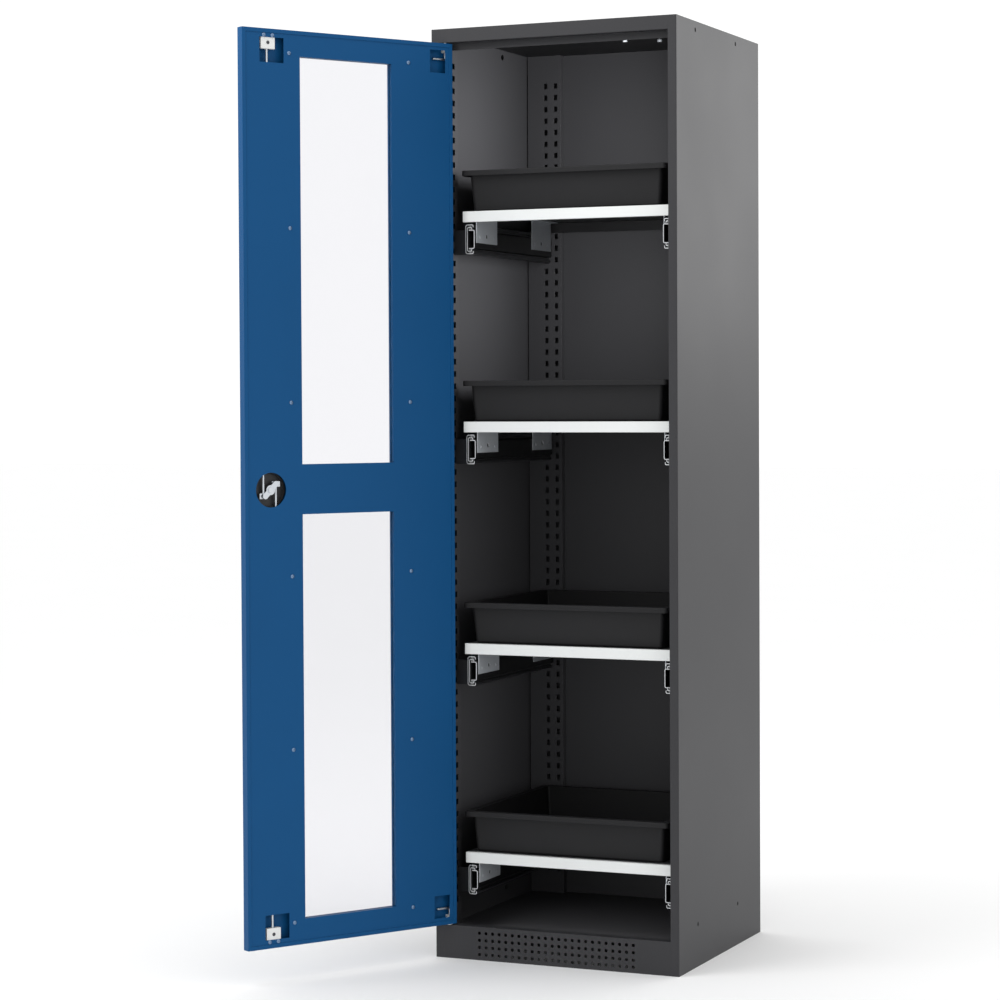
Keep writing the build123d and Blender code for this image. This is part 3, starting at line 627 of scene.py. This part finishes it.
class StageSettings(bpy.types.PropertyGroup):
    """The floor, the light and the camera."""

    floor_colour: FloatVectorProperty(
        name="Floor",
        description="Colour of the floor",
        subtype="COLOR",
        default=(0.93, 0.93, 0.93),
    )
    floor_size: FloatProperty(
        name="Floor size", description="Side of the floor", subtype="DISTANCE", default=80.0
    )
    sky: FloatProperty(
        name="Sky", description="Strength of the light from all round", default=1.08
    )
    key_power: FloatProperty(
        name="Key", description="Power of the light overhead", subtype="POWER", default=22.0
    )
    rim_power: FloatProperty(
        name="Rim",
        description="Power of the light behind at the right",
        subtype="POWER",
        default=19.0,
    )
    upper_power: FloatProperty(
        name="Upper strip",
        description="Power of the upper strip light inside",
        subtype="POWER",
        default=8.0,
    )
    lower_power: FloatProperty(
        name="Lower strip",
        description="Power of the lower strip light inside",
        subtype="POWER",
        default=1.5,
    )
    floor_power: FloatProperty(
        name="Low light",
        description="Power of the light over the cabinet's floor",
        subtype="POWER",
        default=0.12,
    )
    camera_place: FloatVectorProperty(
        name="Camera",
        description="Where the camera stands",
        subtype="TRANSLATION",
        default=(2.20128, -5.5353, 1.17304),
    )
    camera_turn: FloatProperty(
        name="Turn",
        description="Heading of the camera",
        subtype="ANGLE",
        default=math.radians(23.753),
    )
    camera_tilt: FloatProperty(
        name="Tilt",
        description="How far the camera looks up",
        subtype="ANGLE",
        default=math.radians(-1.434),
    )
    camera_roll: FloatProperty(
        name="Roll",
        description="Tilt of the camera about its view",
        subtype="ANGLE",
        default=math.radians(-0.279),
    )
    lens: FloatProperty(name="Lens", description="Focal length in millimetres", default=99.776)
    rise: FloatProperty(name="Rise", description="Upward shift of the lens", default=-0.03)


# Operators
class CABINET_OT_carcass(bpy.types.Operator):
    """Paint the body of the cabinet and plug its tie holes"""

    bl_idname = "cabinet.carcass"
    bl_label = "Carcass"

    def execute(self, context):
        settings = context.scene.cabinet_carcass
        metal = context.scene.cabinet_metal
        coat = powder_coat("carcass_paint", settings.colour, settings.roughness, 0.2, settings.peel)
        paint(("side_panel_left", "side_panel_right", "back_panel", "roof_panel"), coat)
        paint(("floor_panel", "header_rail", "plinth_panel"), coat)
        paint(("front_post_left", "front_post_right", "rear_post_left", "rear_post_right"), coat)
        bolts = zinc_plate("bolt_zinc", metal.zinc, metal.zinc_roughness, EVEN, metallic=0.5)
        paint(("roof_bolts",), bolts)
        self.plug_holes(settings)
        return {"FINISHED"}

    def plug_holes(self, settings):
        """Dished push-in plugs in the holes that bolt one cabinet to the next."""
        colour = settings.plug_colour
        rubber = moulded_plastic("plug_plastic", colour, 0.5, gloss=0.3, grain=FINE_GRAIN)
        setbacks = (113 * MM, 366 * MM)
        heights = (88.5 * MM, CAD_BOX[1].z - 18 * MM)
        bore = 4.4 * MM
        flange = 6 * MM
        flange_top = 0.9 * MM
        rim_top = 2.0 * MM
        dish = 1.2 * MM
        seat = 2.5 * MM
        segments = 24
        profile = [
            (0.2 * bore, dish),
            (0.72 * bore, dish),
            (0.82 * bore, rim_top),
            (bore, rim_top),
            (bore, flange_top),
            (flange, flange_top),
            (flange, 0.2 * MM),
            (0.93 * flange, 0.0),
            (0.2 * bore, 0.0),
        ]

        def plugs(shape):
            for side in (-1, 1):
                low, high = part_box("side_panel_left" if side < 0 else "side_panel_right")
                face_x = low.x if side < 0 else high.x
                outward = Vector((side, 0, 0))
                for setback in setbacks:
                    for height in heights:
                        place = Vector((face_x - side * seat, low.y + setback, height))
                        cap(shape, revolve(shape, profile, segments, facing(place, outward)))
            flatten(shape)

        new_piece("tie_plugs", plugs, rubber, "carcass")


class CABINET_OT_door(bpy.types.Operator):
    """Paint the door, glaze its windows and drive its screws"""

    bl_idname = "cabinet.door"
    bl_label = "Door"

    def execute(self, context):
        settings = context.scene.cabinet_door
        metal = context.scene.cabinet_metal
        peel = context.scene.cabinet_carcass.peel
        coat = powder_coat("door_paint", settings.colour, settings.roughness, 0.12, peel)
        paint(("door_skin", "door_inner_panel"), coat)
        pane = clear_pane("pane_clear", settings.pane_tint, roughness=0.01)
        paint(("window_pane_upper", "window_pane_lower"), pane)
        self.drive_screws(zinc_plate("screw_zinc", metal.screw, metal.zinc_roughness, EVEN))
        return {"FINISHED"}

    def drive_screws(self, zinc):
        """Domed heads on the inner sheet."""
        sheet_face = reach("door_inner_panel", DOOR_IN)

        def heads(shape):
            for low, high in solids_of("door_screws"):
                radius = (high.z - low.z) / 2
                recess = cross_recess(radius, 0.28 * radius)
                place = moved_to((low + high) / 2, DOOR_IN, sheet_face)
                domed_head(shape, place, DOOR_IN, radius, 0.55 * radius, recess)

        screws = new_piece("door_screw_heads", heads, zinc, "door")
        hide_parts("door_screws")


class CABINET_OT_lock(bpy.types.Operator):
    """Finish the handle, the lock and its rods, and put the lock's case behind its cam"""

    bl_idname = "cabinet.lock"
    bl_label = "Lock"

    def execute(self, context):
        settings = context.scene.cabinet_door
        metal = context.scene.cabinet_metal
        black = settings.handle_colour
        plastic = moulded_plastic("handle_plastic", black, 0.42, gloss=0.4, grain=FINE_GRAIN)
        paint(("door_handle", "handle_escutcheon"), plastic)
        paint(("lock_cylinder",), zinc_plate("barrel_nickel", metal.zinc, 0.22, EVEN))
        zinc = zinc_plate("rod_zinc", metal.zinc, metal.zinc_roughness, ALONG_ROD)
        paint(("lock_cam", "lock_rod_upper", "lock_rod_lower"), zinc)
        pale = settings.guide_colour
        guide = moulded_plastic("guide_plastic", pale, 0.45, gloss=0.4, grain=FINE_GRAIN)
        paint(("rod_guides",), guide)
        self.screw_guides(zinc_plate("guide_screw_steel", metal.dull, 0.45, EVEN))
        self.make_case(settings, plastic)
        return {"FINISHED"}

    def screw_guides(self, steel):
        """A flat screw in the half of each rod guide that lies toward the lock."""
        radius = 3.6 * MM
        shift = 5.0 * MM
        guide_face = reach("rod_guides", DOOR_IN)

        def screws(shape):
            recess = cross_recess(radius, 0.15 * radius)
            for low, high in solids_of("rod_guides"):
                place = moved_to((low + high) / 2, DOOR_IN, guide_face)
                place.z += math.copysign(shift, LOCK.z - place.z)
                domed_head(shape, place, DOOR_IN, radius, 0.28 * radius, recess)

        new_piece("guide_screws", screws, steel, "door")

    def make_case(self, settings, plastic):
        """A black dish between the outer sheet and the cam."""
        sheet = 1.4 * MM
        bore = 5.6 * MM
        boss_top = 4.5 * MM
        floor_top = 1.8 * MM
        rim_top = 5.8 * MM
        segments = 64
        rim = settings.case_radius
        profile = [
            (bore, 0.0),
            (bore, boss_top),
            (bore + 4 * MM, boss_top),
            (bore + 5 * MM, floor_top),
            (rim - 5 * MM, floor_top),
            (rim - 4 * MM, rim_top),
            (rim, rim_top),
            (rim, 0.0),
        ]
        place = moved_to(LOCK, DOOR_OUT, reach("door_skin", DOOR_OUT) - sheet)

        def case(shape):
            rings = revolve(shape, profile, segments, facing(place, DOOR_IN))
            band(shape, rings[-1], rings[0], smooth=False)
            flatten(shape)

        new_piece("lock_case", case, plastic, "door")


class CABINET_OT_hinges(bpy.types.Operator):
    """Finish the hinge pins, their guide blocks and the washer under the door"""

    bl_idname = "cabinet.hinges"
    bl_label = "Hinges"

    def execute(self, context):
        metal = context.scene.cabinet_metal
        pale = context.scene.cabinet_door.guide_colour
        zinc = zinc_plate("pin_zinc", metal.zinc, metal.zinc_roughness, ALONG_PIN)
        paint(("hinge_pin_upper", "hinge_pin_lower"), zinc)
        bush = moulded_plastic("bush_plastic", pale, 0.5, gloss=0.4, grain=FINE_GRAIN)
        paint(("hinge_blocks", "hinge_washer"), bush)
        return {"FINISHED"}


class CABINET_OT_slides(bpy.types.Operator):
    """Finish the slides, their carriers and brackets, and rivet the brackets"""

    bl_idname = "cabinet.slides"
    bl_label = "Slides"

    def execute(self, context):
        metal = context.scene.cabinet_metal
        bare = metal.zinc
        # The rails are dark along their long faces; their end faces take the bare zinc colour, a
        # painted highlight on the lit front ends.
        drawn = zinc_plate("slide_zinc", metal.dull, metal.zinc_roughness, ALONG_SLIDE, 0.8, bare)
        plain = zinc_plate("bracket_zinc", bare, 0.45, EVEN, metallic=0.3)
        dull = zinc_plate("carrier_zinc", metal.dull, 0.5, EVEN)
        black = zinc_plate("slide_black", metal.black, 0.38, ALONG_SLIDE, 0.5, bare)
        for number in SHELF_NUMBERS:
            paint((f"slide_carriers_{number}",), dull)
            paint((f"shelf_brackets_{number}",), plain)
            self.roll("outer", number, OUTER_RAIL, drawn, "carcass", "zinc")
            self.roll("middle", number, MIDDLE_RAIL, drawn, f"slide_{number}", "zinc")
            self.roll("inner", number, INNER_RAIL, black, f"shelf_{number}", "slide_steel")
            self.rivet(number, metal.rivet_radius, plain)
        return {"FINISHED"}

    def roll(self, kind, number, rail, material, body, slot):
        """A pair of rolled slide rails with the caged balls that run in them."""
        node = f"slide_{kind}_{number}"
        inner_boxes = solids_of(f"slide_inner_{number}")
        sheet = 1.5 * MM
        corners = [(across * MM, up * MM) for across, up in rail["corners"]]
        line = rounded_path(corners, [radius * MM for radius in rail["radii"]])

        def rails(shape):
            for side, (low, high) in zip((-1, 1), inner_boxes):
                inside = high.x if side < 0 else low.x
                middle_z = (low.z + high.z) / 2

                def place(across, y, up):
                    return Vector((inside + side * across, y, middle_z + up))

                bent_sheet(shape, line, sheet, low.y, high.y, place)
                if "ball" in rail:
                    for up in (-1, 1):
                        self.cage(shape, rail["ball"], up, low.y, place)

        piece = new_piece(f"slide_rail_{kind}_{number}", rails, material, body)
        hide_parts(node)

    def cage(self, shape, sizes, up, front_y, place):
        """A row of balls in their cage, just inside the front end of a rail."""
        across, rise, radius = (size * MM for size in sizes)
        start_y = front_y + 3 * MM
        pitch = 7 * MM
        count = 9
        half = 3.2 * MM
        sheet = 0.8 * MM
        strip = [Vector((across - half, up * rise)), Vector((across + half, up * rise))]
        bent_sheet(shape, strip, sheet, start_y, start_y + count * pitch, place)
        for step in range(count):
            ball(shape, place(across, start_y + (step + 0.5) * pitch, up * rise), radius)

    def rivet(self, number, radius, material):
        """Two rivets on the plate of each bracket."""
        sheet = 1.5 * MM
        rise = 13 * MM
        spread = 36 * MM
        shelf_low, shelf_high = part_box(f"shelf_pan_{number}")
        middle_x = (shelf_low.x + shelf_high.x) / 2

        def rivets(shape):
            for low, high in solids_of(f"shelf_brackets_{number}"):
                inward = 1 if high.x < middle_x else -1
                face_x = low.x + sheet if inward > 0 else high.x - sheet
                middle_y = (low.y + high.y) / 2
                for y in (middle_y - spread, middle_y + spread):
                    place = Vector((face_x, y, low.z + rise))
                    domed_head(shape, place, Vector((inward, 0, 0)), radius, 0.4 * radius)

        new_piece(f"bracket_rivets_{number}", rivets, material, f"shelf_{number}")


class CABINET_OT_shelves(bpy.types.Operator):
    """Paint the shelves and finish the spill trays"""

    bl_idname = "cabinet.shelves"
    bl_label = "Shelves"

    def execute(self, context):
        settings = context.scene.cabinet_shelves
        peel = settings.peel
        white = powder_coat("shelf_white", settings.front_colour, 0.4, 0.4, peel)
        dark = powder_coat("shelf_dark", settings.pan_colour, 0.45, 0.3, peel)
        grain = settings.tray_grain
        tray = moulded_plastic("tray_plastic", settings.tray_colour, 0.5, gloss=0.2, grain=grain)
        for number in SHELF_NUMBERS:
            paint((f"shelf_front_{number}",), white)
            paint((f"shelf_pan_{number}",), dark)
            paint((f"spill_tray_{number}",), tray)
        return {"FINISHED"}


class CABINET_OT_stage(bpy.types.Operator):
    """Lay the floor, hang the lights and set the camera"""

    bl_idname = "cabinet.stage"
    bl_label = "Stage"

    def execute(self, context):
        settings = context.scene.cabinet_stage
        self.lay_floor(settings)
        self.light_sky(context.scene, settings)
        self.light_outside(settings)
        self.light_inside(settings)
        self.set_camera(context.scene, settings)
        return {"FINISHED"}

    def lay_floor(self, settings):
        """A plain square floor under the cabinet."""
        half = settings.floor_size / 2
        mesh = bpy.data.meshes.new("floor")
        corners = [(-half, -half, 0.0), (half, -half, 0.0), (half, half, 0.0), (-half, half, 0.0)]
        mesh.from_pydata(corners, [], [(0, 1, 2, 3)])
        mesh.materials.append(studio_floor("floor_matt", settings.floor_colour))
        floor = bpy.data.objects.new("floor", mesh)
        floor.location.z = CAD_BOX[0].z
        bpy.context.scene.collection.objects.link(floor)

    def light_sky(self, scene, settings):
        """Even white light from all round."""
        world = bpy.data.worlds.new("studio")
        world.use_nodes = True
        sky = world.node_tree.nodes["Background"]
        sky.inputs["Color"].default_value = (1.0, 1.0, 1.0, 1.0)
        sky.inputs["Strength"].default_value = settings.sky
        scene.world = world
        scene.view_settings.view_transform = "Standard"

    def light_outside(self, settings):
        """A soft light overhead, and one behind at the right for the side."""
        overhead = ((-1.0, -1.5, 3.0), (0.0, -0.26, 1.7), (1.2, 1.2))
        behind = ((2.0, 3.6, 2.1), (0.27, 0.0, 1.6), (1.4, 1.4))
        self.hang_light("key_light", *overhead, settings.key_power)
        self.hang_light("rim_light", *behind, settings.rim_power)

    def light_inside(self, settings):
        """Faint lights that reach only the walls, the floor and the roof bolts, so no shelf glares."""
        upper = ((0.15, -0.1, 1.62), (-0.27, -0.1, 1.62), (0.1, 0.6))
        lower = ((0.15, -0.1, 0.6), (-0.27, -0.1, 0.6), (0.1, 0.8))
        low = ((0.02, -0.06, 0.12), (0.02, 0.0, 0.0), (0.4, 0.3))
        lamps = (
            self.hang_light("inside_light_upper", *upper, settings.upper_power),
            self.hang_light("inside_light_lower", *lower, settings.lower_power),
            self.hang_light("inside_light_floor", *low, settings.floor_power),
        )
        lit = bpy.data.collections.new("inside_reach")
        for node in ("side_panel_left", "back_panel", "front_post_left", "rear_post_left"):
            lit.objects.link(NODES[node])
        for node in ("floor_panel", "roof_bolts"):
            lit.objects.link(NODES[node])
        for lamp in lamps:
            lamp.light_linking.receiver_collection = lit

    def hang_light(self, name, place, aim, size, power):
        """A rectangular lamp that faces a point."""
        light = bpy.data.lights.new(name, "AREA")
        light.energy = power
        light.shape = "RECTANGLE"
        light.size, light.size_y = size
        lamp = bpy.data.objects.new(name, light)
        lamp.location = place
        ahead = Vector(aim) - Vector(place)
        lamp.rotation_euler = ahead.to_track_quat("-Z", "Y").to_euler()
        lamp.visible_camera = False
        bpy.context.scene.collection.objects.link(lamp)
        return lamp

    def set_camera(self, scene, settings):
        """A camera that sees the cabinet as the photo does."""
        camera = bpy.data.cameras.new("photo_camera")
        camera.lens = settings.lens
        camera.sensor_width = 36.0
        camera.shift_y = settings.rise
        camera.clip_end = 200.0
        turn = settings.camera_turn
        level = math.cos(settings.camera_tilt)
        climb = math.sin(settings.camera_tilt)
        view = Vector((-math.sin(turn) * level, math.cos(turn) * level, climb))
        stand = bpy.data.objects.new("photo_camera", camera)
        stand.location = settings.camera_place
        stand.rotation_mode = "QUATERNION"
        roll = Quaternion((0, 0, 1), settings.camera_roll)
        stand.rotation_quaternion = view.to_track_quat("-Z", "Y") @ roll
        scene.collection.objects.link(stand)
        scene.camera = stand


OPERATORS = (
    CABINET_OT_carcass,
    CABINET_OT_door,
    CABINET_OT_lock,
    CABINET_OT_hinges,
    CABINET_OT_slides,
    CABINET_OT_shelves,
    CABINET_OT_stage,
)
SETTINGS = {
    "cabinet_carcass": CarcassSettings,
    "cabinet_door": DoorSettings,
    "cabinet_metal": MetalSettings,
    "cabinet_shelves": ShelfSettings,
    "cabinet_stage": StageSettings,
}


class CABINET_PT_sidebar(bpy.types.Panel):
    """The cabinet's settings and steps"""

    bl_idname = "CABINET_PT_sidebar"
    bl_label = "Chemical cabinet"
    bl_space_type = "VIEW_3D"
    bl_region_type = "UI"
    bl_category = "Cabinet"

    def draw(self, context):
        for name, group in SETTINGS.items():
            box = self.layout.box()
            for setting in group.__annotations__:
                box.prop(getattr(context.scene, name), setting)
        for operator in OPERATORS:
            self.layout.operator(operator.bl_idname)


def register():
    for name, group in SETTINGS.items():
        bpy.utils.register_class(group)
        setattr(bpy.types.Scene, name, PointerProperty(type=group))
    for operator in OPERATORS:
        bpy.utils.register_class(operator)
    bpy.utils.register_class(CABINET_PT_sidebar)


def unregister():
    bpy.utils.unregister_class(CABINET_PT_sidebar)
    for operator in reversed(OPERATORS):
        bpy.utils.unregister_class(operator)
    for name, group in SETTINGS.items():
        delattr(bpy.types.Scene, name)
        bpy.utils.unregister_class(group)


def main():
    register()
    bpy.ops.cabinet.carcass()
    bpy.ops.cabinet.door()
    bpy.ops.cabinet.lock()
    bpy.ops.cabinet.hinges()
    bpy.ops.cabinet.slides()
    bpy.ops.cabinet.shelves()
    bpy.ops.cabinet.stage()


if __name__ == "__main__":
    main()
